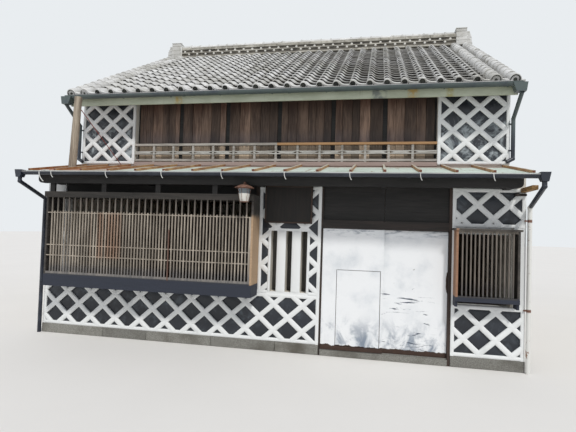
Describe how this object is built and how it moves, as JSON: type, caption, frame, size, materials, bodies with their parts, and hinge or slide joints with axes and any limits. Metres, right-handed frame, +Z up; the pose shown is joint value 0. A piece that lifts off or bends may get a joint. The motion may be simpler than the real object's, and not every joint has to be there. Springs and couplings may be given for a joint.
{
  "type": "machiya townhouse",
  "caption": "Two-storey timber townhouse with tiled roof, raised plaster lattice on dark wall tiles, slatted bays, plaster-faced doors and a sheet-metal street roof.",
  "frame": {"origin": "on the ground under the middle of the street front, on the centre line of the front posts", "axes": "+Z up, +Y from the street side to the back, +X to the right seen from the street"},
  "size_m": [7.65, 9.0594, 6.7521],
  "materials": {
    "stone": "weathered",
    "earth": "rammed earth",
    "boards": "plain boards",
    "plaster": "lime plaster, weathered",
    "raised_plaster": "raised lime plaster",
    "door_plaster": "cracked lime plaster",
    "dark_timber": "blackened with age",
    "brown_timber": "old stain",
    "grey_timber": "weathered",
    "shutter_timber": "oiled cedar, weathered",
    "roof_tile": "smoked clay, weathered",
    "street_sheet": "faded and rusty",
    "pale_sheet": "faded pale green",
    "gutter_sheet": "dark paint",
    "lamp_metal": "rusty"
  },
  "bodies": {
    "house": {"plinth": "stone", "threshold": "stone", "ground_floor": "earth", "upper_floor": "boards", "party_wall_left": "plaster", "party_wall_right": "plaster", "dado_wall": "plaster", "window_wall": "plaster", "front_walls": "plaster", "front_posts": "brown_timber", "door_head": "brown_timber", "transoms": "dark_timber", "wall_plate": "dark_timber", "dado_lattice": "raised_plaster", "window_lattice": "raised_plaster", "right_lattice": "raised_plaster", "bay_frame": "dark_timber", "bay_lattice": "grey_timber", "small_bay_frame": "dark_timber", "small_bay_lattice": "grey_timber", "street_roof": "street_sheet", "roof_battens": "street_sheet", "street_fascia": "pale_sheet", "street_gutter": "gutter_sheet", "roof_purlin": "dark_timber", "name_plank": "dark_timber", "lamp": "lamp_metal", "upper_walls": "plaster", "upper_lattice": "raised_plaster", "shutter_frame": "brown_timber", "shutters": "shutter_timber", "balustrade": "grey_timber", "back_wall": "plaster", "roof_front": "roof_tile", "roof_back": "roof_tile", "ridge_stack": "roof_tile", "ridge_ends": "roof_tile", "fascias": "pale_sheet", "upper_gutters": "gutter_sheet", "rain_pipes": "gutter_sheet", "pole": "grey_timber"},
    "left_leaf": {"door_left": "door_plaster"},
    "right_leaf": {"door_right": "door_plaster"},
    "wicket_leaf": {"wicket": "door_plaster"}
  },
  "joints": [
    {"name": "left_leaf_slide", "type": "slide", "parent": "house", "child": "left_leaf", "axis": [1, 0, 0], "range_m": [0, 0.88]},
    {"name": "right_leaf_slide", "type": "slide", "parent": "house", "child": "right_leaf", "axis": [-1, 0, 0], "range_m": [0, 0.88]},
    {"name": "wicket_hinge", "type": "hinge", "parent": "left_leaf", "child": "wicket_leaf", "pos_m": [1.181, -0.081, 0], "axis": [0, 0, -1], "range_deg": [0, 100]}
  ]
}
